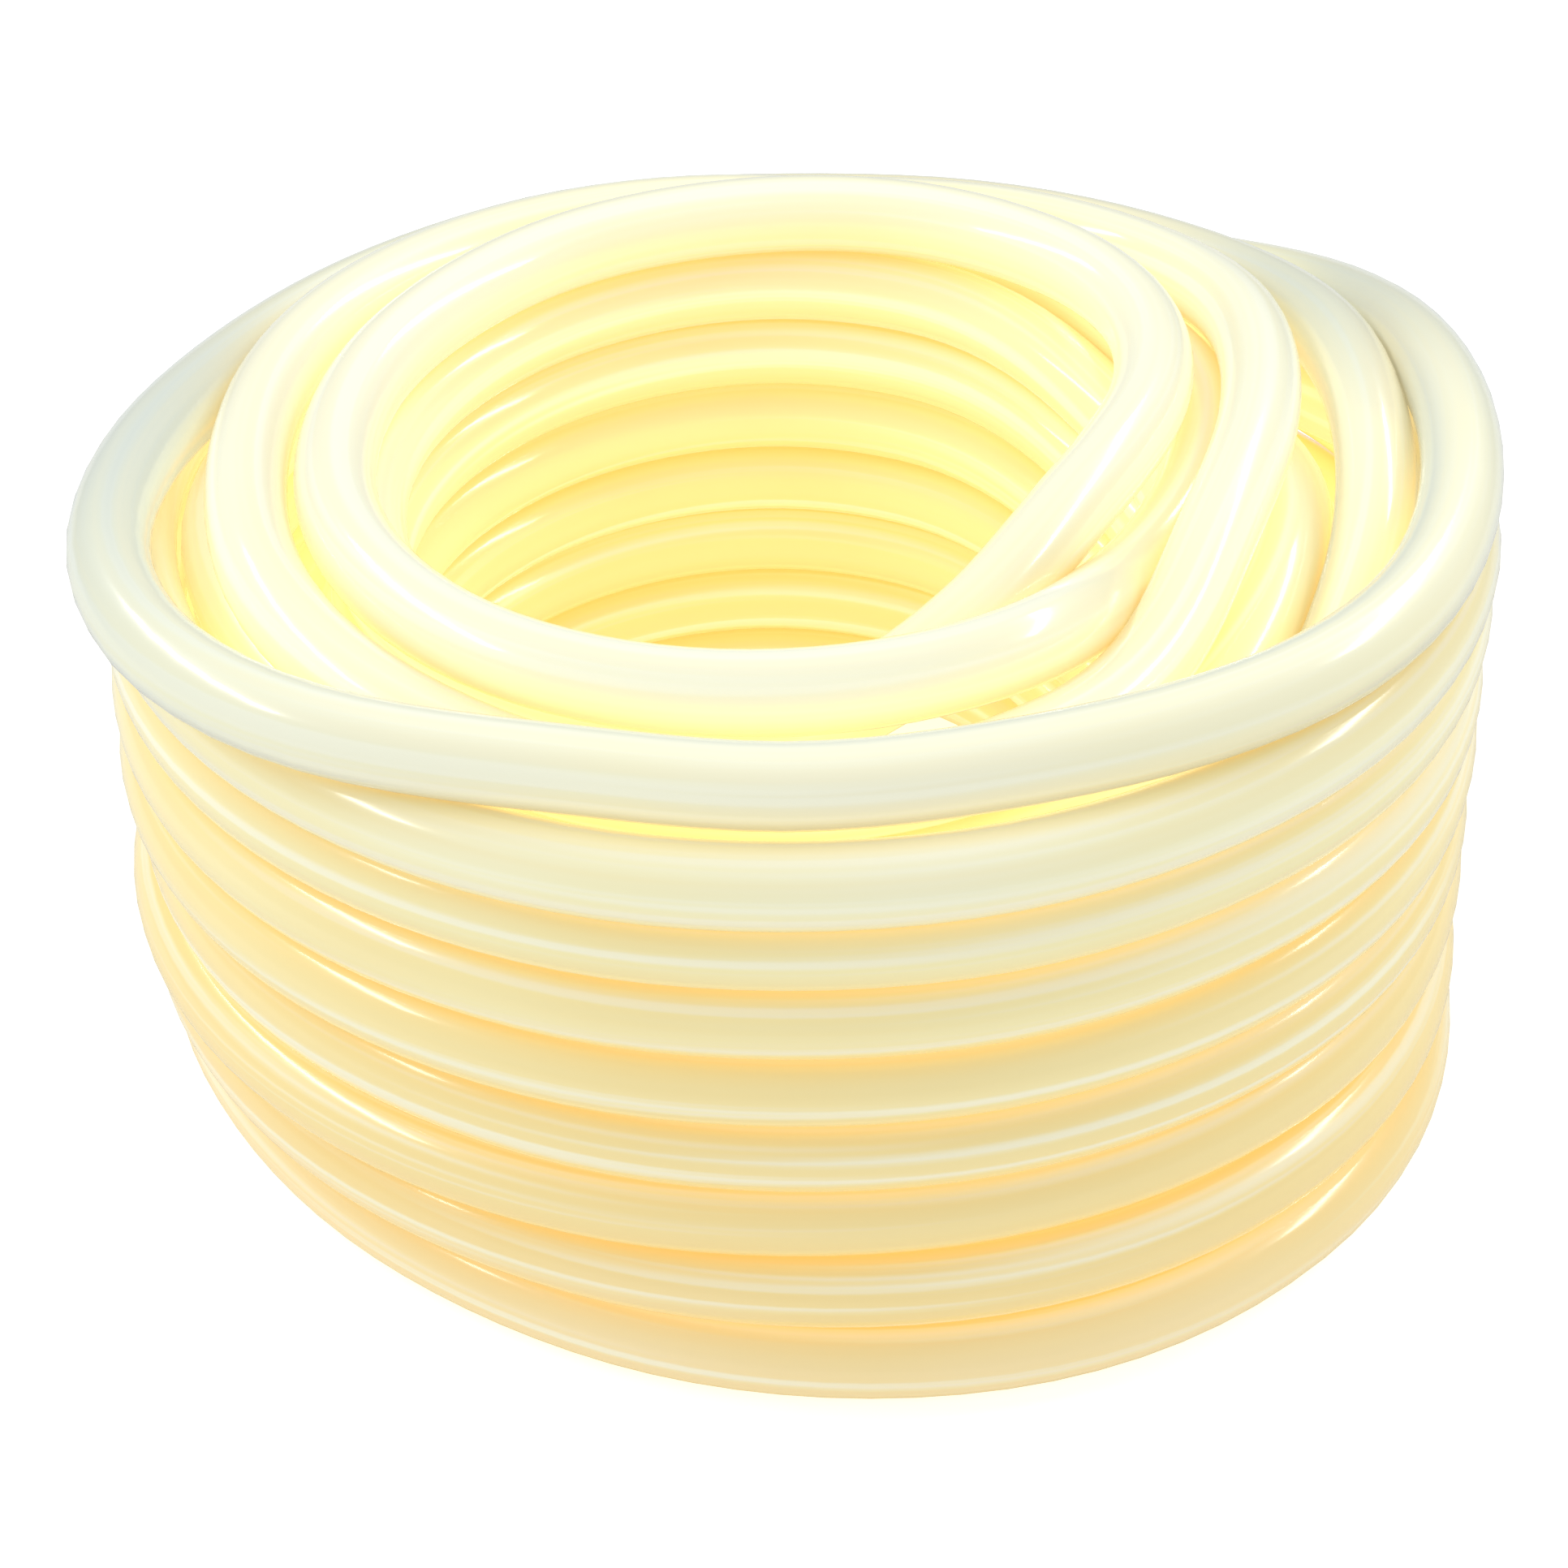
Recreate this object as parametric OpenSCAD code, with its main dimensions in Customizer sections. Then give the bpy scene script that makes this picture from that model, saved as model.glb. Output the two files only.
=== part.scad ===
// Silicone tubing coil: one long length of translucent tubing, 14 mm bore and
// 24 mm outside, wound by hand into a heavy ring and lying flat on the floor.
// All lengths in millimetres, Z up, the coil's axis is Z.

/* [Node] */
// Node to draw

/* [Tube] */
// Outside diameter of the tube
tube_d = 24; // [18:0.5:24]
// Bore of the tube
bore_d = 14; // [8:0.5:16]
// Length of the straight piece at each cut end
end_straight = 60; // [56:2:90]
// Depth to which the bore is cut at each end
bore_deep = 48; // [40:2:50]

/* [Coil] */
// Mean radius of the inner wall of turns
inner_r = 124; // [120:1:126]
// Mean radius of the middle layer of turns
middle_r = 151; // [149:1:153]
// Mean radius of the outer wall of turns
outer_r = 187; // [184:1:190]
// Height from one turn to the next
pitch = 24.2; // [24.1:0.1:24.5]
// How far the outer wall is pressed oval
oval = 8.5; // [0:0.5:10]
// How far the top of the walls is raised on the right
lean = 4.5; // [0:0.5:5]
// Reach of the back crossings beyond the outer wall
back_out = 14; // [12:1:16]

/* [Hidden] */
tube_r = tube_d / 2;
silicone = [0.93, 0.90, 0.76];
sides = 8;              // facets round the swept tube
ring_step = 20;         // degrees from one ring of the sweep to the next
floor_z = tube_r;
turn_gap = 0.6;         // the facets stay this far inside the round wall, so close turns never meet
sweep_r = tube_r - turn_gap;

// Smooth step and the two windows used by the walls.
function ease(x) = let (c = min(1, max(0, x))) c * c * (3 - 2 * c);
function turn_of(a) = a - 360 * floor(a / 360);
function back(a) = let (t = turn_of(a))
    t < 270 ? ease((t + 5) / 80) * ease((175 - t) / 80) : ease((t - 355) / 80);
function raise(level, a) = lean * pow(level / 8, 2) * cos(a);
function sum(v, i = 0) = i < len(v) ? v[i] + sum(v, i + 1) : 0;

// A station is [azimuth counted on from turn to turn, radius, height].

// The free inner end lies in the hole, clear of the wall.
INNER_END = [[-2748, 66, 12], [-2730, 76, 12], [-2712, 86, 12], [-2695, 96, 12], [-2675, 106, 12],
             [-2650, 115, 12], [-2620, 120, 12]];

// Inner wall: eight turns upward, each stepping up on the right.
STEP_IN = [0, 0, 0, 0, 0.1, 0.85, 1, 1, 1, 1, 1, 1];
INNER_WALL = [for (n = [1 : 83]) let (a = -2610 + 30 * n, level = floor(n / 12) + STEP_IN[n % 12])
    [a, inner_r + 3 * sin(a), floor_z + pitch * level + raise(level, a)]];

// The swirl on top, chosen by hand: up from the wall, round the hole, under itself, twice
// across the top and down inside.
SWIRL = [
    [-90, 118, 182], [-60, 99, 196], [-36, 90, 204], [-16, 93, 207], [3, 104, 207], [16, 116, 207],
    [39, 130, 206], [69, 132, 205], [104, 126, 205], [145, 124, 205], [180, 129, 205],
    [206, 136, 206], [230, 138, 206], [250, 135, 206], [278, 130, 206], [295, 127, 205],
    [305, 124, 203], [312, 121, 201], [320, 113, 194], [330, 109, 186], [340, 111, 185],
    [350, 116, 185], [360, 121, 186], [370, 129, 186], [380, 137, 185], [390, 142, 183],
    [400, 144, 181], [410, 147, 183], [420, 151, 188], [450, 152, 192], [480, 151, 197],
    [521, 155, 202], [547, 156, 203], [566, 163, 202], [575, 165, 200], [582, 163, 196],
    [600, 156, 188], [620, 152, 184], [640, 150, 184], [650, 149, 187], [660, 148, 188],
    [667, 145, 188], [675, 141, 188], [682, 137, 192], [690, 133, 199], [702, 131, 204],
    [716, 136, 206], [729, 143, 206], [742, 153, 204], [754, 163, 198], [765, 170, 190],
    [780, 176, 185], [795, 175, 181], [810, 172, 180], [825, 166, 176], [840, 158, 172],
    [865, 154, 177], [885, 160, 178], [900, 167, 180], [915, 166, 176], [930, 160, 170],
    [960, 153, 163], [990, 149, 160],
    [1030, 147, 163], [1040, 147, 167], [1050, 147, 172], [1060, 149, 178], [1080, 151, 178],
    [1090, 153, 171], [1110, 153, 162], [1140, 152, 151], [1170, 152, 145], [1185, 150, 137],
    [1200, 149, 130], [1260, 148, 125], [1290, 148, 118], [1350, 150, 112]];

// Middle layer: four turns down to the floor between the two walls.
MIDDLE = [for (n = [1 : 48]) let (a = 1350 + 30 * n)
    [a, middle_r + 4.5 * cos(2 * a) + 3 * cos(a) + 5 * back(a), max(floor_z, 112 - pitch * n / 12)]];

// On the floor out to the outer wall.
OUTWARD = [[2820, 150, 12], [2850, 161, 12], [2880, 170, 12], [2910, 170.5, 12], [2940, 170, 12],
           [2970, 171, 12], [3000, 172, 12], [3030, 178, 12]];

// Outer wall: eight turns upward, each stepping up at the back, where the turns are
// pressed into a zigzag.
STEP_OUT = [0, 0, 0, 0, 0, 0, 0, 0, 0.25, 0.5, 0.75, 1];
function foot_r(a) = outer_r + 1 + 2.8 * cos(2 * a) - 10 * sin(2 * a) + 7 * cos(a) + 18 * back(a);
function wall_r(a) = outer_r + oval * cos(2 * a) + 4 * cos(a) + back_out * back(a);
OUTER_WALL = [for (n = [0 : 90]) let (
        a = 3060 + 30 * n, k = floor(n / 12), level = k + STEP_OUT[n % 12], b = back(a),
        w = ease(level / 2), loose = level >= 7 ? 5 * max(0, -sin(a)) : 0,
        dent = max(0, 1 - abs(level - 3)) * 5 * max(0, -cos(a)),
        r = foot_r(a) * (1 - w) + wall_r(a) * w + (k % 2 == 0 ? 8 : -8) * min(1, 1.6 * b) + loose - dent,
        z = floor_z + pitch * level + raise(level, a) - (k < 7 ? b * (3 + 4.3 * k) : 0))
    [a, r, max(floor_z, z)]];

// From the right inward at the back, up through the top on the right, round as the rim
// and down behind, chosen by hand.
RIM = [for (s = [
    [15, 189, 175], [22, 185, 171], [30, 181, 167], [37, 177, 162], [45, 176, 160], [60, 176, 159],
    [75, 175, 157], [90, 174, 156], [105, 169, 152], [120, 166, 150], [150, 164, 152], [180, 166, 153],
    [210, 160, 146], [240, 152, 140], [270, 150, 136], [300, 154, 138], [310, 159, 141],
    [320, 168, 152], [325, 172, 160], [330, 171, 168], [340, 173, 181], [350, 173, 191],
    [360, 174, 196], [374, 177, 199], [383, 181, 197], [392, 186, 190], [400, 189, 184],
    [412, 195, 177], [420, 196, 174], [435, 196, 171], [450, 194, 168], [467, 191, 173],
    [480, 184, 177], [493, 180, 180], [505, 179, 184], [517, 175, 190], [530, 178, 198],
    [540, 184, 202], [550, 196, 203], [562, 204, 203], [570, 204, 203], [582, 199, 203],
    [590, 190, 203], [605, 173, 203], [614, 168, 203], [630, 170, 203], [646, 169, 204],
    [656, 175, 206], [667, 182, 207], [677, 189, 207], [687, 195, 207], [700, 197, 207],
    [720, 197, 207], [730, 199, 204], [740, 202, 196], [746, 206, 190], [752, 212, 182],
    [758, 217, 173], [765, 224, 163], [772, 228, 154], [779, 228, 148], [786, 228, 145],
    [810, 228, 144.5]])
    [s[0] + 5760, s[1], s[2]]];

STATIONS = concat(INNER_END, INNER_WALL, SWIRL, MIDDLE, OUTWARD, OUTER_WALL, RIM);
R_TABLE = [for (s = STATIONS) [s[0], s[1]]];
Z_TABLE = [for (s = STATIONS) [s[0], s[2]]];

// The route at an azimuth is the mean of five look-ups six degrees apart.
function mean_of(table, a) = (lookup(a - 12, table) + lookup(a - 6, table) + lookup(a, table)
    + lookup(a + 6, table) + lookup(a + 12, table)) / 5;
function radius_at(a) = mean_of(R_TABLE, a);
function height_at(a) = mean_of(Z_TABLE, a);
function point_at(a) = [radius_at(a) * cos(a), radius_at(a) * sin(a), height_at(a)];

FIRST = -2730;
LAST = 6553.74;
RINGS = ceil((LAST - FIRST) / ring_step);
function unit(v) = v / norm(v);
function tidy(v) = [for (x = v) round(10 * x) / 10];

// The cut ends run straight on, along 3-4-5 and 7-24-25 directions, so their bores are exact.
start_p = tidy(point_at(FIRST));
start_t = [0.8, 0.6, 0];
end_p = tidy(point_at(LAST));
end_t = [-0.96, 0.28, 0];

// A ring of the sweep lies in the upright plane of its azimuth, flats up, down, in and out.
function ring_at(a) = [for (i = [0 : sides - 1]) let (w = 360 * (i + 0.5) / sides,
    r = radius_at(a) + sweep_r * cos(w))
    [r * cos(a), r * sin(a), height_at(a) + sweep_r * sin(w)]];
// A ring square to the direction of travel, for the two ends.
function ring_across(c, t, size) = let (n = unit(cross(t, [0, 0, 1])), b = cross(n, t))
    [for (i = [0 : sides - 1]) let (w = 360 * (i + 0.5) / sides) c + size * (cos(w) * n + sin(w) * b)];

SWEEP = concat(
    ring_across(start_p + 8 * start_t, -start_t, sweep_r),
    ring_across(start_p, -start_t, sweep_r + turn_gap / 2),
    [for (i = [1 : RINGS - 1]) for (p = ring_at(FIRST + ring_step * i)) p],
    ring_across(end_p, end_t, sweep_r + turn_gap / 2),
    ring_across(end_p + 8 * end_t, end_t, sweep_r));
COUNT = len(SWEEP) / sides;
SKIN = concat(
    [[for (i = [sides - 1 : -1 : 0]) i]],
    [for (k = [0 : COUNT - 2]) for (i = [0 : sides - 1]) let (j = (i + 1) % sides, u = sides * k)
        each [[u + i, u + sides + j, u + sides + i], [u + i, u + j, u + sides + j]]],
    [[for (i = [0 : sides - 1]) sides * (COUNT - 1) + i]]);

// Box of the coil with its outer end, worked out so that the part stands centred on the origin.
tip = end_p + end_straight * end_t;
function reach(k) = tube_r * sqrt(1 - pow(end_t[k], 2));
low = [for (k = [0 : 1]) min(tip[k] - reach(k), min([for (p = SWEEP) p[k]]))];
high = [for (k = [0 : 1]) max(tip[k] + reach(k), max([for (p = SWEEP) p[k]]))];
centre = tidy([(low[0] + high[0]) / 2, (low[1] + high[1]) / 2, 0]);

// Straight end with its bore, from p along t.
module cut_end(p, t) {
    translate(p)
        rotate([0, acos(t[2]), atan2(t[1], t[0])])
            difference() {
                cylinder(h = end_straight, r = tube_r, $fn = 48);
                translate([0, 0, end_straight - bore_deep])
                    cylinder(h = bore_deep + 1, d = bore_d, $fn = 48);
            }
}

module tubing_coil() {
    color(silicone)
        translate(-centre)
            union() {
                polyhedron(points = SWEEP, faces = SKIN, convexity = 20);
                cut_end(start_p, start_t);
                cut_end(end_p, end_t);
            }
}

tubing_coil();
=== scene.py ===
"""A heavy coil of milky, translucent silicone tubing, wound by hand and lying flat.

The route of the tubing is worked out from the same sizes, formulas and stations as the part's
source, here in metres. A Geometry Nodes tree sweeps the round wall, the two square-cut ends and
the bore along it, and the turns are pressed flat where they touch.
"""

from __future__ import annotations

import logging
import math
from dataclasses import dataclass, field
from enum import Enum
from typing import Any, Mapping, Sequence

import bpy
import numpy as np
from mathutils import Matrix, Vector

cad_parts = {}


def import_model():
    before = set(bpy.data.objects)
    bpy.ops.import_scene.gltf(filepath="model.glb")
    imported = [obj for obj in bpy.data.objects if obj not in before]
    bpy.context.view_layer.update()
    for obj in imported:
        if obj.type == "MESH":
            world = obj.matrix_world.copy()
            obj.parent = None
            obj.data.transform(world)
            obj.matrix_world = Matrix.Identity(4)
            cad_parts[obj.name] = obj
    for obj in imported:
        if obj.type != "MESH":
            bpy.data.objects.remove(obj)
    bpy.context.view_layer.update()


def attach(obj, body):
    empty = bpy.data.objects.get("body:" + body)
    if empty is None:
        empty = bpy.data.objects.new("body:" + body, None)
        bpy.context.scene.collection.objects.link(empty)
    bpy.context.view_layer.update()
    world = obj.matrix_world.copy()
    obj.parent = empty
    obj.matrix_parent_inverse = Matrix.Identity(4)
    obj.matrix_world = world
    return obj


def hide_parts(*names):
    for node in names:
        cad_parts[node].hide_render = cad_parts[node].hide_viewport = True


LOG = logging.getLogger("tubing_coil")
Station = tuple[float, float, float]
Colour = tuple[float, float, float, float]
FULL_TURN = 360.0
WHITE: Colour = (1.0, 1.0, 1.0, 1.0)
TINY = 1e-9  # keeps a divisor from zero
MIX_FACTOR, MIX_FIRST, MIX_SECOND = 0, 6, 7  # a colour Mix node's inputs, whose names repeat


class Trait(Enum):
    """A number that every point of the tubing's wall carries for its finish."""

    RUN = "run"
    OUTWARD = "outward"
    UPWARD = "upward"
    # how near another turn lies, read for the painted shade in the crevices and in the glow
    NEST = "nest"
    # share of the painted cool edge tint
    COOL = "cool"


class RingData(Enum):
    """What each point of the spine carries for its ring: the attribute's name and kind."""

    SIDE = ("side_axis", "FLOAT_VECTOR")
    UP = ("up_axis", "FLOAT_VECTOR")
    RADIUS = ("ring_radius", "FLOAT")
    RUN = ("ring_run", "FLOAT")


class Sock:
    """A socket of a node tree that takes part in Python expressions."""

    def __init__(self, graph: Graph, out: bpy.types.NodeSocket) -> None:
        """Wraps an output socket.

        Args:
            graph: The tree builder that adds the Math nodes.
            out: The socket whose value is used.
        """
        self.graph = graph
        self.out = out

    def maths(self, operation: str, first: Any, second: Any = 0.0) -> Sock:
        """Adds one Math node.

        Args:
            operation: The node's operation.
            first: Its first value or socket.
            second: Its second value or socket.

        Returns:
            The result.
        """
        values = {0: first, 1: second}
        return self.graph.node("ShaderNodeMath", {"operation": operation}, values)[0]

    def __add__(self, other: Any) -> Sock:
        """This plus other."""
        return self.maths("ADD", self, other)

    def __radd__(self, other: Any) -> Sock:
        """Other plus this."""
        return self.maths("ADD", other, self)

    def __sub__(self, other: Any) -> Sock:
        """This minus other."""
        return self.maths("SUBTRACT", self, other)

    def __rsub__(self, other: Any) -> Sock:
        """Other minus this."""
        return self.maths("SUBTRACT", other, self)

    def __mul__(self, other: Any) -> Sock:
        """This times other."""
        return self.maths("MULTIPLY", self, other)

    def __rmul__(self, other: Any) -> Sock:
        """Other times this."""
        return self.maths("MULTIPLY", other, self)

    def __truediv__(self, other: Any) -> Sock:
        """This over other."""
        return self.maths("DIVIDE", self, other)

    def __rtruediv__(self, other: Any) -> Sock:
        """Other over this."""
        return self.maths("DIVIDE", other, self)

    def floor(self) -> Sock:
        """The whole number below this."""
        return self.maths("FLOOR", self)

    def cosine(self) -> Sock:
        """The cosine of this angle."""
        return self.maths("COSINE", self)

    def sine(self) -> Sock:
        """The sine of this angle."""
        return self.maths("SINE", self)

    def clamped(self) -> Sock:
        """This kept between 0 and 1."""
        return self.maths("MAXIMUM", self.maths("MINIMUM", self, 1.0), 0.0)

    def rise(self, low: float, high: float) -> Sock:
        """A smooth step of this value.

        Args:
            low: Where the step starts.
            high: Where it ends.

        Returns:
            0 below low, 1 above high.
        """
        settings = {"interpolation_type": "SMOOTHSTEP"}
        values = {"Value": self, "From Min": low, "From Max": high, "To Min": 0.0, "To Max": 1.0}
        return self.graph.node("ShaderNodeMapRange", settings, values)[0]


class Graph:
    """Builds one node tree; every node comes from one method."""

    def __init__(self, tree: bpy.types.NodeTree) -> None:
        """Starts with the tree as it is.

        Args:
            tree: The shader or geometry tree to fill.
        """
        self.tree = tree

    def put(self, socket: bpy.types.NodeSocket, value: Any) -> None:
        """Sets or links one input socket.

        Args:
            socket: The input.
            value: A number, tuple or data block, or a socket to link.
        """
        if isinstance(value, Sock):
            self.tree.links.new(value.out, socket)
        else:
            socket.default_value = value

    def node(
        self,
        kind: str,
        settings: Mapping[str, Any] | None = None,
        inputs: Mapping[str | int, Any] | None = None,
    ) -> list[Sock]:
        """Adds a node.

        Args:
            kind: The node's type.
            settings: Its properties, which are set first; stops is a ramp's list.
            inputs: Values or links by socket name or number.

        Returns:
            Its outputs.
        """
        made = self.tree.nodes.new(kind)
        for name, value in (settings or {}).items():
            if name == "stops":
                self.stops(made, value)
            else:
                setattr(made, name, value)
        for name, value in (inputs or {}).items():
            self.put(made.inputs[name], value)
        return [Sock(self, out) for out in made.outputs if out.enabled]

    def named(
        self,
        kind: str,
        settings: Mapping[str, Any] | None = None,
        inputs: Mapping[str | int, Any] | None = None,
    ) -> dict[str, Sock]:
        """Adds a node, as node does, and gives its outputs by name."""
        return {sock.out.name: sock for sock in self.node(kind, settings, inputs)}

    @staticmethod
    def stops(ramp: bpy.types.Node, stops: Sequence[tuple[float, Colour]]) -> None:
        """Gives a colour ramp its stops.

        Args:
            ramp: The ramp node.
            stops: Position and colour of each stop.
        """
        elements = ramp.color_ramp.elements
        for place, _ in stops[1:-1]:
            elements.new(place)
        for element, (_, colour) in zip(elements, stops):
            element.color = colour

    def tint(self, factor: Any, first: Any, second: Any) -> Sock:
        """Mixes two colours.

        Args:
            factor: Share of the second.
            first: The first colour or socket.
            second: The second colour or socket.

        Returns:
            The mixed colour.
        """
        settings = {"data_type": "RGBA", "blend_type": "MIX", "clamp_factor": True}
        values = {MIX_FACTOR: factor, MIX_FIRST: first, MIX_SECOND: second}
        return self.node("ShaderNodeMix", settings, values)[0]

    def own(self, trait: Trait) -> Sock:
        """Reads a number that the piece's mesh carries.

        Args:
            trait: Which number.

        Returns:
            Its value.
        """
        settings = {"attribute_type": "GEOMETRY", "attribute_name": trait.value}
        return self.named("ShaderNodeAttribute", settings)["Fac"]

    def noise(self, place: Sock, scale: float, detail: float) -> Sock:
        """Noise at a place.

        Args:
            place: The coordinates.
            scale: Its fineness.
            detail: Its octaves.

        Returns:
            A value about 0.5.
        """
        values = {"Vector": place, "Scale": scale, "Detail": detail, "Roughness": 0.5}
        return self.node("ShaderNodeTexNoise", {}, values)[0]


@dataclass(frozen=True)
class TubingRoute:
    """The hand-wound route, with the sizes of the part's source in metres and degrees.

    The walls' stations follow a rule, stations_turn of them to a turn. Those of the ends, the
    swirl on top, the way outward and the rim are irregular and given one by one.
    """

    tube_d: float = 0.024
    bore_d: float = 0.014
    end_straight: float = 0.060
    inner_r: float = 0.124
    middle_r: float = 0.151
    outer_r: float = 0.187
    pitch: float = 0.0242
    oval: float = 0.0085
    lean: float = 0.0045
    back_out: float = 0.014
    # The walls' rule: where each starts in degrees, how many stations it has, how far it sways.
    wall_turns: int = 8
    stations_turn: int = 12
    inner_from: float = -2610.0
    inner_stations: int = 83
    inner_sway: float = 0.003
    middle_from: float = 1350.0
    middle_stations: int = 48
    middle_top: float = 0.112
    middle_oval: float = 0.0045
    middle_sway: float = 0.003
    middle_back: float = 0.005
    outer_from: float = 3060.0
    outer_stations: int = 91
    # The outer wall's foot on the floor, then its zigzag, loose turn, dent and dip at the back.
    foot_levels: float = 2.0
    foot_out: float = 0.001
    foot_oval: float = 0.0028
    foot_skew: float = 0.01
    foot_sway: float = 0.007
    foot_back: float = 0.018
    wall_sway: float = 0.004
    zigzag: float = 0.008
    zigzag_rise: float = 1.6
    loose: float = 0.005
    loose_level: float = 7.0
    dent: float = 0.005
    dent_level: float = 3.0
    dip: float = 0.003
    dip_turn: float = 0.0043
    rim_from: float = 5760.0
    # Azimuths between which the back is reached, and over how many degrees.
    back_window: tuple[float, float] = (-5.0, 175.0)
    back_rise: float = 80.0
    # The stations are averaged over this many degrees to each side of a point.
    smooth: float = 12.0
    smooth_samples: int = 9
    # Where the turns begin and stop in degrees, and the middle of the coil's box.
    first: float = -2730.0
    last: float = 6553.74
    centre: tuple[float, float, float] = (0.0037, 0.0256, 0.0)
    # The straight cut ends: where they leave the turns, and which way they run from there.
    straight_points: int = 7
    start_p: tuple[float, float, float] = (-0.0658, 0.038, 0.012)
    start_t: tuple[float, float, float] = (0.8, 0.6, 0.0)
    end_p: tuple[float, float, float] = (0.0638, 0.2189, 0.1452)
    end_t: tuple[float, float, float] = (-0.96, 0.28, 0.0)
    step_in: tuple[float, ...] = (0, 0, 0, 0, 0.1, 0.85, 1, 1, 1, 1, 1, 1)
    step_out: tuple[float, ...] = (0, 0, 0, 0, 0, 0, 0, 0, 0.25, 0.5, 0.75, 1)
    inner_end: tuple[Station, ...] = (
        (-2748, 0.066, 0.012), (-2730, 0.076, 0.012), (-2712, 0.086, 0.012), (-2695, 0.096, 0.012),
        (-2675, 0.106, 0.012), (-2650, 0.115, 0.012), (-2620, 0.12, 0.012),
    )
    swirl: tuple[Station, ...] = (
        (-90, 0.118, 0.182), (-60, 0.099, 0.196), (-36, 0.09, 0.204), (-16, 0.093, 0.207),
        (3, 0.104, 0.207), (16, 0.116, 0.207), (39, 0.13, 0.206), (69, 0.132, 0.205),
        (104, 0.126, 0.205), (145, 0.124, 0.205), (180, 0.129, 0.205), (206, 0.136, 0.206),
        (230, 0.138, 0.206), (250, 0.135, 0.206), (278, 0.13, 0.206), (295, 0.127, 0.205),
        (305, 0.124, 0.203), (312, 0.121, 0.201), (320, 0.113, 0.194), (330, 0.109, 0.186),
        (340, 0.111, 0.185), (350, 0.116, 0.185), (360, 0.121, 0.186), (370, 0.129, 0.186),
        (380, 0.137, 0.185), (390, 0.142, 0.183), (400, 0.144, 0.181), (410, 0.147, 0.183),
        (420, 0.151, 0.188), (450, 0.152, 0.192), (480, 0.151, 0.197), (521, 0.155, 0.202),
        (547, 0.156, 0.203), (566, 0.163, 0.202), (575, 0.165, 0.2), (582, 0.163, 0.196),
        (600, 0.156, 0.188), (620, 0.152, 0.184), (640, 0.15, 0.184), (650, 0.149, 0.187),
        (660, 0.148, 0.188), (667, 0.145, 0.188), (675, 0.141, 0.188), (682, 0.137, 0.192),
        (690, 0.133, 0.199), (702, 0.131, 0.204), (716, 0.136, 0.206), (729, 0.143, 0.206),
        (742, 0.153, 0.204), (754, 0.163, 0.198), (765, 0.17, 0.19), (780, 0.176, 0.185),
        (795, 0.175, 0.181), (810, 0.172, 0.18), (825, 0.166, 0.176), (840, 0.158, 0.172),
        (865, 0.154, 0.177), (885, 0.16, 0.178), (900, 0.167, 0.18), (915, 0.166, 0.176),
        (930, 0.16, 0.17), (960, 0.153, 0.163), (990, 0.149, 0.16), (1030, 0.147, 0.163),
        (1040, 0.147, 0.167), (1050, 0.147, 0.172), (1060, 0.149, 0.178), (1080, 0.151, 0.178),
        (1090, 0.153, 0.171), (1110, 0.153, 0.162), (1140, 0.152, 0.151), (1170, 0.152, 0.145),
        (1185, 0.15, 0.137), (1200, 0.149, 0.13), (1260, 0.148, 0.125), (1290, 0.148, 0.118),
        (1350, 0.15, 0.112),
    )
    outward: tuple[Station, ...] = (
        (2820, 0.15, 0.012), (2850, 0.161, 0.012), (2880, 0.17, 0.012), (2910, 0.1705, 0.012),
        (2940, 0.17, 0.012), (2970, 0.171, 0.012), (3000, 0.172, 0.012), (3030, 0.178, 0.012),
    )
    rim: tuple[Station, ...] = (
        (15, 0.189, 0.175), (22, 0.185, 0.171), (30, 0.181, 0.167), (37, 0.177, 0.162),
        (45, 0.176, 0.16), (60, 0.176, 0.159), (75, 0.175, 0.157), (90, 0.174, 0.156),
        (105, 0.169, 0.152), (120, 0.166, 0.15), (150, 0.164, 0.152), (180, 0.166, 0.153),
        (210, 0.16, 0.146), (240, 0.152, 0.14), (270, 0.15, 0.136), (300, 0.154, 0.138),
        (310, 0.159, 0.141), (320, 0.168, 0.152), (325, 0.172, 0.16), (330, 0.171, 0.168),
        (340, 0.173, 0.181), (350, 0.173, 0.191), (360, 0.174, 0.196), (374, 0.177, 0.199),
        (383, 0.181, 0.197), (392, 0.186, 0.19), (400, 0.189, 0.184), (412, 0.195, 0.177),
        (420, 0.196, 0.174), (435, 0.196, 0.171), (450, 0.194, 0.168), (467, 0.191, 0.173),
        (480, 0.184, 0.177), (493, 0.18, 0.18), (505, 0.179, 0.184), (517, 0.175, 0.19),
        (530, 0.178, 0.198), (540, 0.184, 0.202), (550, 0.196, 0.203), (562, 0.204, 0.203),
        (570, 0.204, 0.203), (582, 0.199, 0.203), (590, 0.19, 0.203), (605, 0.173, 0.203),
        (614, 0.168, 0.203), (630, 0.17, 0.203), (646, 0.169, 0.204), (656, 0.175, 0.206),
        (667, 0.182, 0.207), (677, 0.189, 0.207), (687, 0.195, 0.207), (700, 0.197, 0.207),
        (720, 0.197, 0.207), (730, 0.199, 0.204), (740, 0.202, 0.196), (746, 0.206, 0.19),
        (752, 0.212, 0.182), (758, 0.217, 0.173), (765, 0.224, 0.163), (772, 0.228, 0.154),
        (779, 0.228, 0.148), (786, 0.228, 0.145), (810, 0.228, 0.1445),
    )

    @staticmethod
    def ease(x: float) -> float:
        """A smooth step from 0 to 1."""
        c = min(1.0, max(0.0, x))
        return c * c * (3 - 2 * c)

    def back(self, a: float) -> float:
        """How far an azimuth in degrees lies in the back's window, 0 to 1."""
        start, stop = self.back_window
        t = a % FULL_TURN
        inside = self.ease((t - start) / self.back_rise) * self.ease((stop - t) / self.back_rise)
        return max(inside, self.ease((t - FULL_TURN - start) / self.back_rise))

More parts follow.
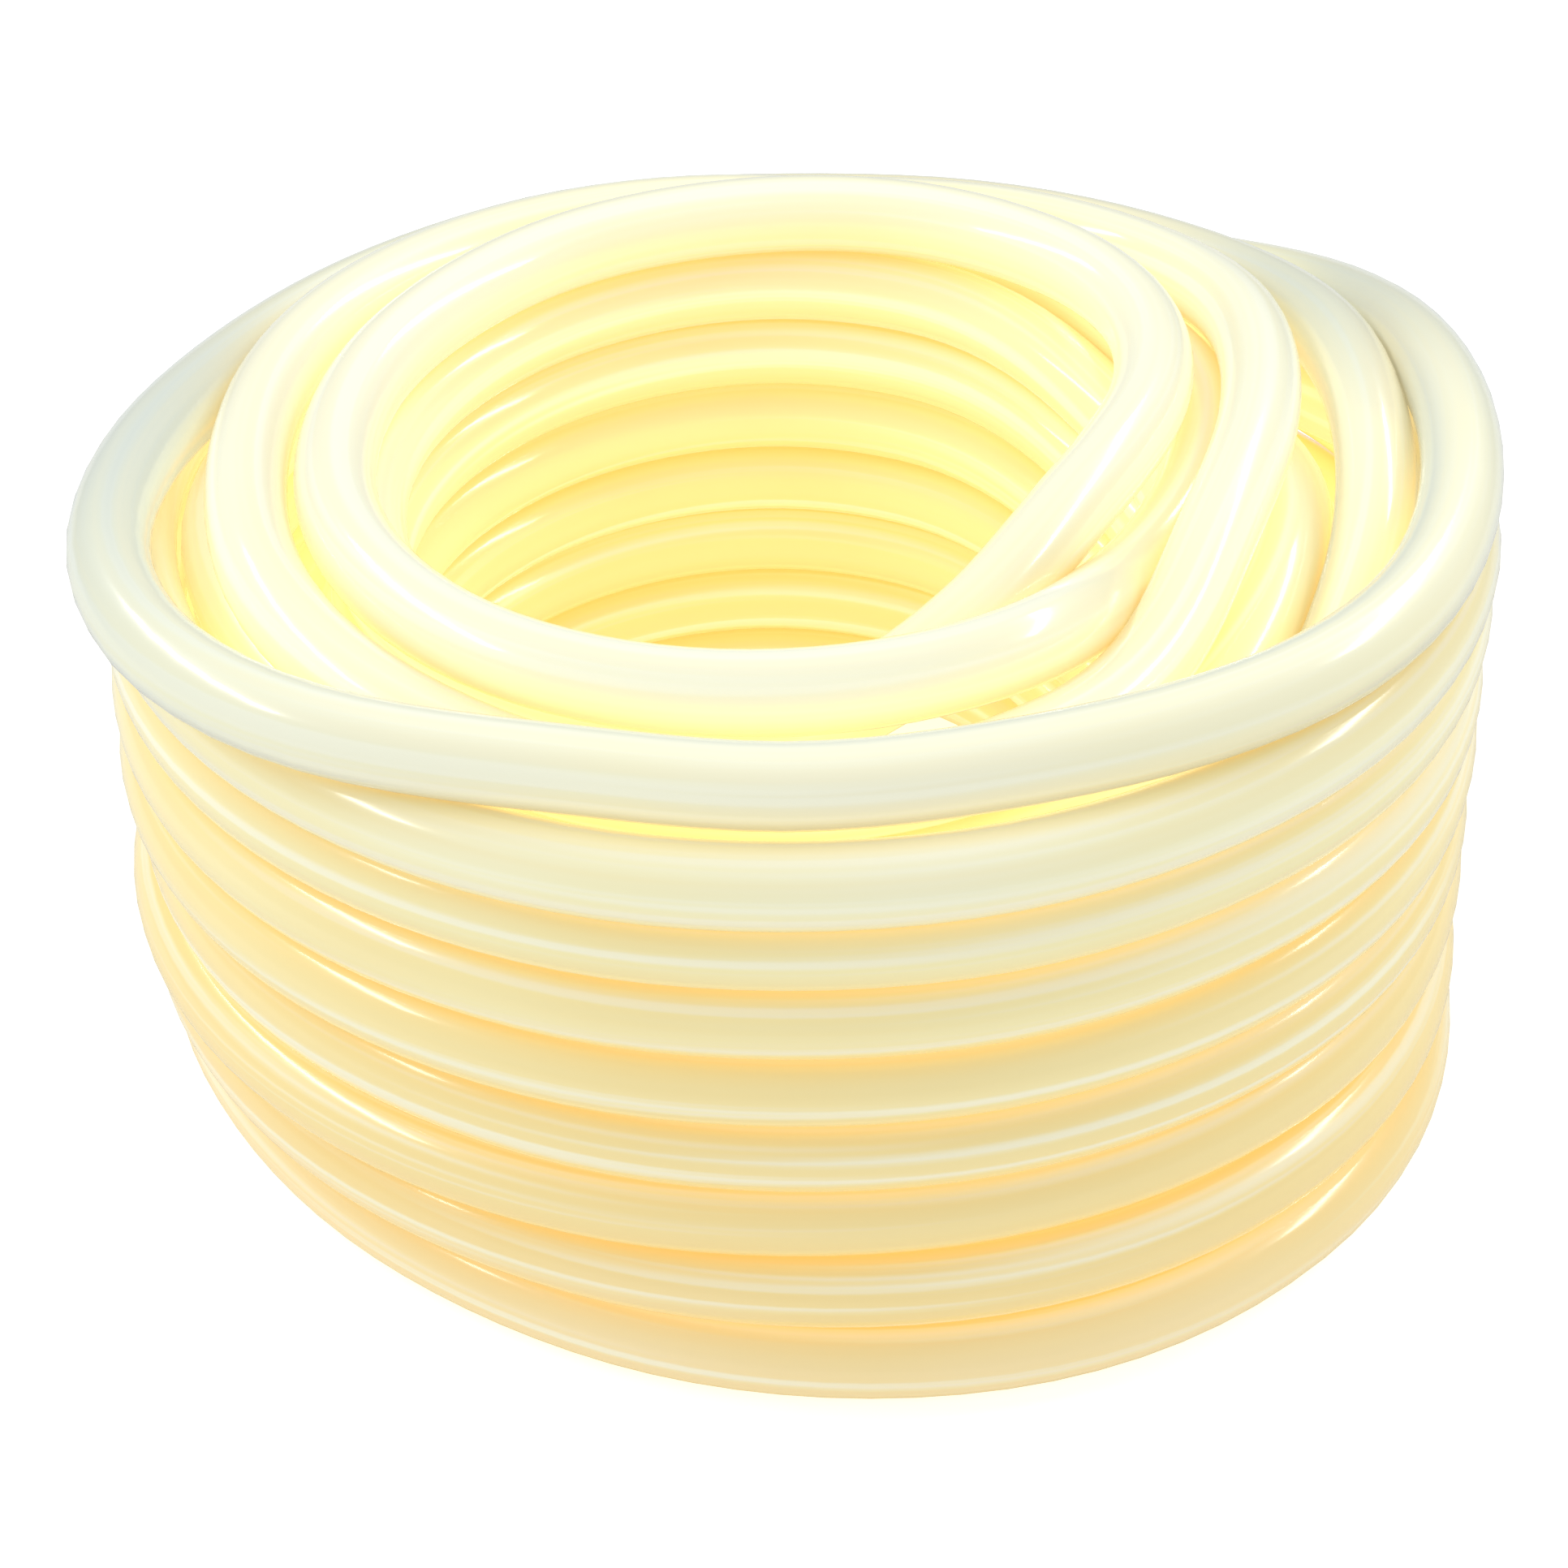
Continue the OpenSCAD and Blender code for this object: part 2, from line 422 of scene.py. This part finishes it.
    def raised(self, level: float, a: float) -> float:
        """How much the lean lifts a turn of that level at that azimuth."""
        return self.lean * (level / self.wall_turns) ** 2 * math.cos(math.radians(a))

    def azimuth(self, start: float, n: int) -> float:
        """The azimuth of a wall's station, in degrees."""
        return start + FULL_TURN / self.stations_turn * n

    def inner_wall(self) -> list[Station]:
        """The eight turns up the inner wall."""
        made = []
        for n in range(1, self.inner_stations + 1):
            a = self.azimuth(self.inner_from, n)
            level = n // self.stations_turn + self.step_in[n % self.stations_turn]
            r = self.inner_r + self.inner_sway * math.sin(math.radians(a))
            made.append((a, r, self.tube_d / 2 + self.pitch * level + self.raised(level, a)))
        return made

    def middle(self) -> list[Station]:
        """The four turns down between the walls."""
        made = []
        for n in range(1, self.middle_stations + 1):
            a = self.azimuth(self.middle_from, n)
            w = math.radians(a)
            r = (
                self.middle_r + self.middle_oval * math.cos(2 * w) + self.middle_sway * math.cos(w)
                + self.middle_back * self.back(a)
            )
            z = self.middle_top - self.pitch * n / self.stations_turn
            made.append((a, r, max(self.tube_d / 2, z)))
        return made

    def foot_r(self, a: float) -> float:
        """The outer wall's radius on the floor at an azimuth in degrees."""
        w = math.radians(a)
        return (
            self.outer_r + self.foot_out + self.foot_oval * math.cos(2 * w)
            - self.foot_skew * math.sin(2 * w) + self.foot_sway * math.cos(w)
            + self.foot_back * self.back(a)
        )

    def wall_r(self, a: float) -> float:
        """The outer wall's radius above its foot at an azimuth in degrees."""
        w = math.radians(a)
        return (
            self.outer_r + self.oval * math.cos(2 * w) + self.wall_sway * math.cos(w)
            + self.back_out * self.back(a)
        )

    def outer_wall(self) -> list[Station]:
        """The eight turns up the outer wall, pressed into a zigzag at the back."""
        made = []
        for n in range(self.outer_stations):
            a = self.azimuth(self.outer_from, n)
            w = math.radians(a)
            turn, place = divmod(n, self.stations_turn)
            level = turn + self.step_out[place]
            back = self.back(a)
            blend = self.ease(level / self.foot_levels)
            loose = self.loose * max(0.0, -math.sin(w)) if level >= self.loose_level else 0.0
            near_dent = max(0.0, 1 - abs(level - self.dent_level))
            dent = near_dent * self.dent * max(0.0, -math.cos(w))
            side = self.zigzag if turn % 2 == 0 else -self.zigzag
            zigzag = side * min(1.0, self.zigzag_rise * back)
            r = self.foot_r(a) * (1 - blend) + self.wall_r(a) * blend + zigzag + loose - dent
            lowered = turn < self.wall_turns - 1
            dip = back * (self.dip + self.dip_turn * turn) if lowered else 0.0
            z = self.tube_d / 2 + self.pitch * level + self.raised(level, a) - dip
            made.append((a, r, max(self.tube_d / 2, z)))
        return made

    def stations(self) -> np.ndarray:
        """All stations in order: azimuth counted on from turn to turn, radius, height."""
        rim = [(a + self.rim_from, r, z) for a, r, z in self.rim]
        rows = (
            *self.inner_end, *self.inner_wall(), *self.swirl, *self.middle(),
            *self.outward, *self.outer_wall(), *rim,
        )
        return np.array(rows)

    def at(self, azimuths: np.ndarray) -> np.ndarray:
        """Points of the centreline.

        Args:
            azimuths: Degrees, counted on from turn to turn.

        Returns:
            One row of x, y, z for each.
        """
        table = self.stations()
        r = np.zeros(len(azimuths))
        z = np.zeros(len(azimuths))
        shifts = np.linspace(-self.smooth, self.smooth, self.smooth_samples)
        weights = np.ones(self.smooth_samples)
        weights[[0, -1]] = 0.5
        for shift, weight in zip(shifts, weights / weights.sum()):
            r += weight * np.interp(azimuths + shift, table[:, 0], table[:, 1])
            z += weight * np.interp(azimuths + shift, table[:, 0], table[:, 2])
        w = np.radians(azimuths)
        return np.stack([r * np.cos(w), r * np.sin(w), z], axis=1) - np.array(self.centre)

    def line(self, step: float = 3.75) -> np.ndarray:
        """The whole centreline with its straight ends.

        Args:
            step: Degrees from one point to the next.

        Returns:
            The points from the inner cut end to the outer one.
        """
        start_p, end_p = (np.array(p) - np.array(self.centre) for p in (self.start_p, self.end_p))
        turns = self.at(np.arange(self.first + step, self.last - step / 2, step))
        spans = np.linspace(self.end_straight, 0, self.straight_points)
        head = [start_p + np.array(self.start_t) * s for s in spans]
        tail = [end_p + np.array(self.end_t) * s for s in spans[::-1]]
        return np.concatenate([head, turns, tail])


@dataclass(frozen=True)
class MilkySilicone:
    """Milky translucent silicone rubber, which the light fills from within.

    A share of emission in the rubber's own colour stands for the light in its wall. A range gives
    where a tint starts and where it is full, and a share gives how strong it is then.
    """

    # painted light and shade: the rubber is paler towards the top and deeper amber lower down,
    # where less light falls
    painted_light_by_height: tuple[tuple[float, Colour], ...] = (
        (0.0, (0.96, 0.79, 0.46, 1.0)), (0.2, (0.95, 0.76, 0.36, 1.0)),
        (0.5, (0.96, 0.82, 0.42, 1.0)), (0.75, (0.96, 0.89, 0.52, 1.0)),
        (0.9, (0.95, 0.92, 0.64, 1.0)), (1.0, (0.94, 0.92, 0.70, 1.0)),
    )
    # amber of the painted shade in the crevices, on the undersides and in the darker streaks
    amber: Colour = (0.95, 0.70, 0.25, 1.0)
    # colour of the painted highlight streaks
    pale: Colour = (0.98, 0.97, 0.78, 1.0)
    # grey-blue of the painted cool edge tint
    cool: Colour = (0.43, 0.51, 0.52, 1.0)
    shade: Colour = (0.50, 0.35, 0.11, 1.0)
    gloss: float = 0.26
    coat: float = 1.0
    coat_gloss: float = 0.13
    refraction: float = 1.42
    # strength of the painted glow, an emission that stands for light in the wall
    within: float = 0.42
    shaded: float = 0.7
    height: float = 0.218
    cloud_scale: float = 7.0
    cloud_share: float = 0.4
    # painted highlights and shade: paler and darker streaks along the tube at random places,
    # standing in for light from the bore
    streak_scale: float = 1.7
    streak_across: float = 1.3
    streak_along: float = 1.1
    painted_streak_light_range: tuple[float, float] = (0.5, 0.66)
    painted_streak_light_share: float = 0.75
    octaves: float = 2.0
    # painted shade: amber on the tube's underside, where it faces down
    painted_underside_range: tuple[float, float] = (0.1, -0.8)
    painted_underside_share: float = 0.35
    # how much painted amber shade goes where another turn lies close
    painted_crevice_shade_share: float = 0.6
    # how much painted amber shade goes into the darker streaks
    painted_streak_shade_share: float = 0.5
    # shares of the painted cool edge tint: its least and how much the streaks add
    cool_least: float = 0.6
    cool_streak: float = 0.8

    def make(self) -> bpy.types.Material:
        """Builds the material.

        Returns:
            The new material.
        """
        material = bpy.data.materials.new("milky_silicone")
        material.use_nodes = True
        graph = Graph(material.node_tree)
        graph.tree.nodes.clear()
        colour = self.body(graph)
        # painted glow: the emission colour is darkened towards the shade colour where turns
        # nestle, painted shade in the glow
        glow = graph.tint(graph.own(Trait.NEST) * self.shaded, colour, self.shade)
        values = {
            "Base Color": colour, "Roughness": self.gloss, "IOR": self.refraction,
            "Coat Weight": self.coat, "Coat Roughness": self.coat_gloss,
            "Emission Color": glow, "Emission Strength": self.within,
        }
        shader = graph.node("ShaderNodeBsdfPrincipled", {}, values)[0]
        graph.node("ShaderNodeOutputMaterial", {}, {"Surface": shader})
        return material

    def body(self, graph: Graph) -> Sock:
        """Colours the rubber with painted light and shade: paler upward, amber shade where turns
        nestle and underneath, painted highlight and shade streaks, and a cool tint painted at the
        top edges.

        Args:
            graph: The material's tree.

        Returns:
            The colour.
        """
        place = graph.named("ShaderNodeTexCoord")["Object"]
        height = graph.named("ShaderNodeSeparateXYZ", {}, {0: place})["Z"] / self.height
        cloud = graph.noise(place, self.cloud_scale, self.octaves) - 0.5
        around = {
            "X": graph.own(Trait.OUTWARD) * self.streak_across,
            "Y": graph.own(Trait.UPWARD) * self.streak_across,
            "Z": graph.own(Trait.RUN) * self.streak_along,
        }
        skin = graph.node("ShaderNodeCombineXYZ", {}, around)[0]
        streak = graph.noise(skin, self.streak_scale, self.octaves)
        # place on the painted light-by-height ramp, shifted by random milky clouds
        level = (height + cloud * self.cloud_share).clamped()
        colour = graph.node("ShaderNodeValToRGB", {"stops": self.painted_light_by_height}, {0: level})[0]
        # painted highlight streaks in the pale colour
        white = streak.rise(*self.painted_streak_light_range) * self.painted_streak_light_share
        colour = graph.tint(white, colour, self.pale)
        # painted shade on the undersides of the tube
        painted_underside_shade = graph.own(Trait.UPWARD).rise(*self.painted_underside_range) * self.painted_underside_share
        # painted shade in the darker streaks
        painted_streak_shade = (0.5 - streak) * self.painted_streak_shade_share
        # painted shade: amber where turns nestle, on the undersides and in the darker streaks
        painted_shade = graph.own(Trait.NEST) * self.painted_crevice_shade_share + painted_underside_shade + painted_streak_shade
        colour = graph.tint(painted_shade.clamped(), colour, self.amber)
        # painted cool tint at the top edges, varied by the streaks
        painted_cool_edge = graph.own(Trait.COOL) * (streak * self.cool_streak + self.cool_least)
        return graph.tint(painted_cool_edge.clamped(), colour, self.cool)


@dataclass(frozen=True)
class PaintedCoolEdges:
    """Where a cool grey-blue tint is painted on the upper turns, standing in for the room's light
    seen through their wall.

    Directions are taken towards the photograph's camera. Lengths along the tubing are counted
    back from its outer end. Each rise is the way over which the light grows to full, and each of
    the rim's spots has an azimuth and a width in degrees.
    """

    towards: tuple[float, float, float] = (0.0, -0.79, 0.61)
    grazing: float = 0.62
    low: float = 0.13
    low_rise: float = 0.06
    upper_run: float = 2.9
    upper_rise: float = 0.4
    upper_least: float = 0.35
    rim_run: float = 1.9
    rim_rise: float = 0.2
    rim_share: float = 0.55
    # painted cool patches on the rim at these azimuths
    rim_spots: tuple[tuple[float, float], ...] = ((180.0, 38.0), (30.0, 24.0))

    def shares(
        self, normals: np.ndarray, places: np.ndarray, to_end: np.ndarray, azimuths: np.ndarray
    ) -> np.ndarray:
        """Works out the painted cool tint's share at each point of the wall.

        Args:
            normals: The wall's normals.
            places: Its points.
            to_end: Minus their distance to the outer end, along the tubing.
            azimuths: Degrees round the coil's axis.

        Returns:
            A share from 0 to 1 for each point, greatest along the last two turns.
        """
        # painted by facing: the tint grows where the wall turns edge-on to the towards direction
        facing = np.abs(normals @ np.array(self.towards, np.float32))
        edge = np.clip(1.0 - facing / self.grazing, 0.0, 1.0)
        high = np.clip((places[:, 2] - self.low) / self.low_rise, 0.0, 1.0)
        upper = np.clip((to_end + self.upper_run) / self.upper_rise, self.upper_least, 1.0)
        rim = np.clip((to_end + self.rim_run) / self.rim_rise, 0.0, 1.0)
        spots = sum(np.exp(-(((azimuths - at) / width) ** 2)) for at, width in self.rim_spots)
        shares = np.maximum(edge * high * upper, self.rim_share * spots * high * rim)
        return shares.astype(np.float32)


@dataclass
class SiliconeTubing:
    """The one length of tubing: wall, cut ends and bore."""

    route: TubingRoute = field(default_factory=TubingRoute)
    finish: MilkySilicone = field(default_factory=MilkySilicone)
    # the painted cool edge tint, stored on the wall
    light: PaintedCoolEdges = field(default_factory=PaintedCoolEdges)
    sides: int = 28
    bore_shown: float = 0.24
    edge: float = 0.0007
    edge_step: float = 0.3
    edge_clear: float = 3.0
    weld: float = 1e-6
    # Points nearer than this along the tubing are of the same turn; the rest is how turns press.
    other_turn: float = 0.12
    nest_fade: float = 0.006
    skin_from: float = 0.95
    most_pressed: float = 0.8
    block: int = 600
    centreline: np.ndarray = field(init=False)

    def __post_init__(self) -> None:
        """Works out the centreline once."""
        self.centreline = self.route.line()

    def rings(self) -> tuple[np.ndarray, np.ndarray, np.ndarray]:
        """Lists the rings of the closed wall, from the bore's end out and along and back in.

        Returns:
            The ring centres, their radii and their distance along the tubing.
        """
        tube, bore = self.route.tube_d / 2, self.route.bore_d / 2
        runs = self.marks(self.centreline)
        total = float(runs[-1])
        clear, step = self.edge * self.edge_clear, self.edge * self.edge_step
        inside = [s for s in runs if clear < s < self.bore_shown][::-1]
        lip = [
            (self.edge, bore), (step, bore + step), (0.0, bore + self.edge),
            (0.0, (tube + bore) / 2), (0.0, tube - self.edge), (step, tube - step),
            (self.edge, tube),
        ]
        head = [(inside[0], 0.0), *[(s, bore) for s in inside], *lip]
        tail = [(total - s, r) for s, r in head[::-1]]
        body = [(s, tube) for s in runs if clear < s < total - clear]
        spots, radii = np.array([*head, *body, *tail]).T
        return self.between(spots, runs, self.centreline), radii, spots

    @staticmethod
    def marks(line: np.ndarray) -> np.ndarray:
        """How far along a line each of its points lies."""
        steps = np.linalg.norm(np.diff(line, axis=0), axis=1)
        return np.concatenate([[0], np.cumsum(steps)])

    @staticmethod
    def between(spots: np.ndarray, marks: np.ndarray, rows: np.ndarray) -> np.ndarray:
        """Reads a table of three columns between its rows.

        Args:
            spots: Where it is read.
            marks: Where its rows stand.
            rows: The rows.

        Returns:
            One row for each spot.
        """
        return np.stack([np.interp(spots, marks, rows[:, k]) for k in range(3)], axis=1)

    def axes(self, runs: np.ndarray) -> tuple[np.ndarray, np.ndarray]:
        """The side and upward directions of each ring.

        Args:
            runs: Distances along the tubing.

        Returns:
            Two arrays of unit vectors, square to the travel.
        """
        marks = self.marks(self.centreline)
        tangents = np.gradient(self.centreline, marks, axis=0)
        travel = self.between(runs, marks, tangents)
        travel /= np.linalg.norm(travel, axis=1)[:, None]
        side = np.cross(travel, np.array([0.0, 0.0, 1.0]))
        side /= np.linalg.norm(side, axis=1)[:, None]
        return side, np.cross(side, travel)

    def spine(self) -> bpy.types.Object:
        """Makes the line of ring centres that the tree reads.

        Returns:
            An object of loose points that carry each ring's axes, radius and place.
        """
        places, radii, runs = self.rings()
        side, up = self.axes(runs)
        mesh = bpy.data.meshes.new("tubing_spine")
        mesh.from_pydata([tuple(p) for p in places], [], [])
        for data, values in (
            (RingData.SIDE, side), (RingData.UP, up),
            (RingData.RADIUS, radii), (RingData.RUN, runs),
        ):
            name, kind = data.value
            layer = mesh.attributes.new(name, kind, "POINT")
            layer.data.foreach_set("vector" if kind == "FLOAT_VECTOR" else "value", values.ravel())
        spine = bpy.data.objects.new("silicone_tubing", mesh)
        bpy.context.scene.collection.objects.link(spine)
        return spine

    def sweep_tree(self) -> bpy.types.NodeTree:
        """Builds the Geometry Nodes tree that sweeps the wall along the rings.

        Returns:
            The tree, with the inputs Wall Scale, Sides and Finish.
        """
        tree = bpy.data.node_groups.new("sweep_tubing_wall", "GeometryNodeTree")
        face = tree.interface
        face.new_socket("Geometry", in_out="INPUT", socket_type="NodeSocketGeometry")
        face.new_socket("Wall Scale", in_out="INPUT", socket_type="NodeSocketFloat")
        face.new_socket("Sides", in_out="INPUT", socket_type="NodeSocketInt")
        face.new_socket("Finish", in_out="INPUT", socket_type="NodeSocketMaterial")
        face.new_socket("Geometry", in_out="OUTPUT", socket_type="NodeSocketGeometry")
        graph = Graph(tree)
        given, scale, sides, finish = graph.node("NodeGroupInput")[:4]
        count = graph.node("GeometryNodeAttributeDomainSize", {"component": "MESH"}, {0: given})[0]
        values = {"Size X": 1.0, "Size Y": 1.0, "Vertices X": count, "Vertices Y": sides + 1.0}
        grid = graph.node("GeometryNodeMeshGrid", {}, values)[0]
        number = graph.node("GeometryNodeInputIndex")[0]
        rounding = 1e-4  # keeps a whole number from falling to the ring before
        ring = (number / (sides + 1.0) + rounding).floor()
        turn = (number - ring * (sides + 1.0)) * (2 * math.pi) / sides

        def sampled(value: Sock, kind: str) -> Sock:
            """A value of the spine's point for this ring."""
            settings = {"data_type": kind, "domain": "POINT"}
            values = {"Geometry": given, "Value": value, "Index": ring}
            return graph.node("GeometryNodeSampleIndex", settings, values)[0]

        def read(data: RingData) -> Sock:
            """Reads what the spine carries for this ring."""
            name, kind = data.value
            settings, values = {"data_type": kind}, {"Name": name}
            stored = graph.node("GeometryNodeInputNamedAttribute", settings, values)[0]
            return sampled(stored, kind)

        def scaled(vector: Sock, by: Sock) -> Sock:
            """A vector times a number."""
            values = {"Vector": vector, "Scale": by}
            return graph.node("ShaderNodeVectorMath", {"operation": "SCALE"}, values)[0]

        def summed(first: Sock, second: Sock) -> Sock:
            """The sum of two vectors."""
            values = {0: first, 1: second}
            return graph.node("ShaderNodeVectorMath", {"operation": "ADD"}, values)[0]

        radius = read(RingData.RADIUS) * scale
        across = scaled(read(RingData.SIDE), turn.cosine() * radius)
        upward = scaled(read(RingData.UP), turn.sine() * radius)
        middle = sampled(graph.node("GeometryNodeInputPosition")[0], "FLOAT_VECTOR")
        place = summed(middle, summed(across, upward))
        run = read(RingData.RUN)
        skin = graph.node("GeometryNodeSetPosition", {}, {"Geometry": grid, "Position": place})[0]
        carried = ((Trait.RUN, run), (Trait.OUTWARD, turn.cosine()), (Trait.UPWARD, turn.sine()))
        for trait, value in carried:
            settings = {"data_type": "FLOAT", "domain": "POINT"}
            values = {"Geometry": skin, "Name": trait.value, "Value": value}
            skin = graph.node("GeometryNodeStoreNamedAttribute", settings, values)[0]
        for kind, values in (
            ("GeometryNodeMergeByDistance", {"Distance": self.weld}),
            ("GeometryNodeSetShadeSmooth", {"Shade Smooth": True}),
            ("GeometryNodeRealizeInstances", {}),
            ("GeometryNodeSetMaterial", {"Material": finish}),
        ):
            skin = graph.node(kind, {}, {"Geometry": skin, **values})[0]
        graph.node("NodeGroupOutput", {}, {0: skin})
        return tree

    def swept(self) -> bpy.types.Object:
        """Runs the tree and keeps its result as a plain mesh.

        Returns:
            The tubing, at the origin, with its one material.
        """
        tubing = self.spine()
        tree = self.sweep_tree()
        modifier = tubing.modifiers.new("sweep", "NODES")
        modifier.node_group = tree
        given = {"Wall Scale": 1.0, "Sides": self.sides, "Finish": self.finish.make()}
        for item in tree.interface.items_tree:
            if item.in_out == "INPUT" and item.name in given:
                modifier[item.identifier] = given[item.name]
        tubing.update_tag()
        graph = bpy.context.evaluated_depsgraph_get()
        mesh = bpy.data.meshes.new_from_object(tubing.evaluated_get(graph))
        tubing.modifiers.remove(modifier)
        tubing.data = mesh
        mesh.name = "silicone_tubing"
        return tubing

    def settle(self, mesh: bpy.types.Mesh) -> None:
        """Presses the turns flat where they touch, and stores what their finish reads.

        Args:
            mesh: The swept wall; it gets the traits nest and cool.
        """
        tube = self.route.tube_d / 2
        count = len(mesh.vertices)
        places = np.empty(count * 3, np.float32)
        mesh.vertices.foreach_get("co", places)
        places = places.reshape(-1, 3)
        runs = np.empty(count, np.float32)
        mesh.attributes[Trait.RUN.value].data.foreach_get("value", runs)
        line = self.centreline.astype(np.float32)
        marks = self.marks(line).astype(np.float32)
        own = self.between(runs, marks, line)
        nest = np.zeros(count, np.float32)
        moved = places.copy()
        for low in range(0, count, self.block):
            part = slice(low, low + self.block)
            gaps = np.linalg.norm(places[part, None, :] - line[None, :, :], axis=2)
            gaps[np.abs(runs[part, None] - marks[None, :]) < self.other_turn] = np.inf
            near = gaps.argmin(axis=1)
            gap = gaps[np.arange(len(near)), near]
            # nest: how near another turn lies, which the finish turns into painted crevice shade
            nest[part] = np.exp(-np.maximum(0.0, gap - tube) / self.nest_fade)
            mine = places[part] - own[part]
            reach = np.linalg.norm(mine, axis=1)
            other = line[near] - own[part]
            along = (mine * other).sum(axis=1)
            limit = (other * other).sum(axis=1) / 2 / np.maximum(along, TINY)
            press = (gap < tube) & (reach > tube * self.skin_from) & (along > 0)
            share = np.where(press, np.clip(limit, self.most_pressed, 1.0), 1.0)
            moved[part] = own[part] + mine * share[:, None]
        mesh.vertices.foreach_set("co", moved.ravel())
        mesh.update()
        normals = np.empty(count * 3, np.float32)
        mesh.vertices.foreach_get("normal", normals)
        centre_x, centre_y, _ = self.route.centre
        azimuths = np.degrees(np.arctan2(moved[:, 1] + centre_y, moved[:, 0] + centre_x))
        to_end = runs - float(marks[-1])
        # painted cool edge tint, greatest where the wall turns away from the camera's direction
        cool = self.light.shares(normals.reshape(-1, 3), moved, to_end, azimuths % FULL_TURN)
        for trait, values in ((Trait.NEST, nest), (Trait.COOL, cool)):
            layer = mesh.attributes.new(trait.value, "FLOAT", "POINT")
            layer.data.foreach_set("value", values)

    def build(self) -> bpy.types.Object:
        """Returns:
            The finished piece.
        """
        tubing = self.swept()
        self.settle(tubing.data)
        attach(tubing, "root")
        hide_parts("tubing_coil")
        return tubing


@dataclass(frozen=True)
class PhotoCamera:
    """The camera at the photograph's viewing angle."""

    place: tuple[float, float, float] = (-0.0037, -1.0856, 0.880)
    tilt: float = 52.8
    lens: float = 98.07
    sensor: float = 36.0

    def build(self) -> bpy.types.Object:
        """Makes the camera and hands it to the scene.

        Returns:
            The camera.
        """
        data = bpy.data.cameras.new("studio_camera")
        data.lens, data.sensor_width, data.sensor_fit = self.lens, self.sensor, "HORIZONTAL"
        camera = bpy.data.objects.new("studio_camera", data)
        camera.location = self.place
        camera.rotation_euler = (math.radians(self.tilt), 0.0, 0.0)
        bpy.context.scene.collection.objects.link(camera)
        bpy.context.scene.camera = camera
        LOG.info("camera: %.1f mm lens", self.lens)
        return camera


@dataclass(frozen=True)
class Softbox:
    """One large soft lamp."""

    name: str
    place: tuple[float, float, float]
    size: tuple[float, float]
    power: float
    aim: tuple[float, float, float] = (0.0, 0.0, 0.11)

    def build(self) -> bpy.types.Object:
        """Makes the lamp, turned to the coil.

        Returns:
            The lamp.
        """
        data = bpy.data.lights.new(self.name, "AREA")
        data.shape, data.size, data.size_y = "RECTANGLE", *self.size
        data.energy = self.power
        lamp = bpy.data.objects.new(self.name, data)
        lamp.location = self.place
        beam = Vector(self.aim) - Vector(self.place)
        lamp.rotation_euler = beam.to_track_quat("-Z", "Y").to_euler()
        bpy.context.scene.collection.objects.link(lamp)
        return lamp


@dataclass(frozen=True)
class Studio:
    """Pale floor, white surroundings and soft light."""

    fill: float = 0.42
    air: Colour = (0.93, 0.97, 1.0, 1.0)
    paper: Colour = (0.9, 0.9, 0.89, 1.0)
    paper_glow: float = 0.6
    paper_half: float = 6.0
    paper_drop: float = 0.0002
    lamps: tuple[Softbox, ...] = (
        Softbox("strip_left", (-1.33, 0.17, 1.45), (1.8, 0.14), 11.0),
        Softbox("strip_right", (1.15, 0.69, 1.45), (1.6, 0.14), 10.0),
        Softbox("softbox_top", (0.0, 0.5, 1.8), (1.2, 0.5), 0.4),
    )

    def white_world(self) -> None:
        """Shows the camera a plain white world, and lights the rest dimmer and cooler."""
        world = bpy.data.worlds.new("white_studio")
        world.use_nodes = True
        bpy.context.scene.world = world
        graph = Graph(world.node_tree)
        graph.tree.nodes.clear()
        rays = graph.named("ShaderNodeLightPath")
        seen = (rays["Is Camera Ray"] + rays["Is Transmission Ray"]).clamped()
        strength = seen * (1.0 - self.fill) + self.fill
        values = {"Color": graph.tint(seen, self.air, WHITE), "Strength": strength}
        back = graph.node("ShaderNodeBackground", {}, values)[0]
        graph.node("ShaderNodeOutputWorld", {}, {"Surface": back})

    def floor(self) -> bpy.types.Object:
        """Makes the pale floor, which keeps the coil's shadow.

        Returns:
            The floor.
        """
        mesh = bpy.data.meshes.new("studio_floor")
        far = self.paper_half
        corners = [(-far, -far, 0), (far, -far, 0), (far, far, 0), (-far, far, 0)]
        mesh.from_pydata(corners, [], [(0, 1, 2, 3)])
        floor = bpy.data.objects.new("studio_floor", mesh)
        floor.location.z = -self.paper_drop
        bpy.context.scene.collection.objects.link(floor)
        material = bpy.data.materials.new("white_floor")
        material.use_nodes = True
        graph = Graph(material.node_tree)
        graph.tree.nodes.clear()
        matt = graph.node("ShaderNodeBsdfDiffuse", {}, {"Color": self.paper})[0]
        lit = {"Color": WHITE, "Strength": self.paper_glow}
        glow = graph.node("ShaderNodeEmission", {}, lit)[0]
        seen = graph.named("ShaderNodeLightPath")["Is Camera Ray"]
        none = graph.node("ShaderNodeEmission", {}, {"Strength": 0.0})[0]
        extra = graph.node("ShaderNodeMixShader", {}, {0: seen, 1: none, 2: glow})[0]
        both = graph.node("ShaderNodeAddShader", {}, {0: matt, 1: extra})[0]
        graph.node("ShaderNodeOutputMaterial", {}, {"Surface": both})
        mesh.materials.append(material)
        return floor

    def build(self) -> None:
        """Lights the set."""
        self.white_world()
        self.floor()
        for lamp in self.lamps:
            lamp.build()
        view = bpy.context.scene.view_settings
        view.view_transform = "Standard"
        LOG.info("studio: %d softboxes", len(self.lamps))


def main() -> None:
    """Builds the set and the coil in order."""
    logging.basicConfig(level=logging.INFO, format="%(message)s")
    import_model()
    PhotoCamera().build()
    SiliconeTubing().build()
    Studio().build()


if __name__ == "__main__":
    main()
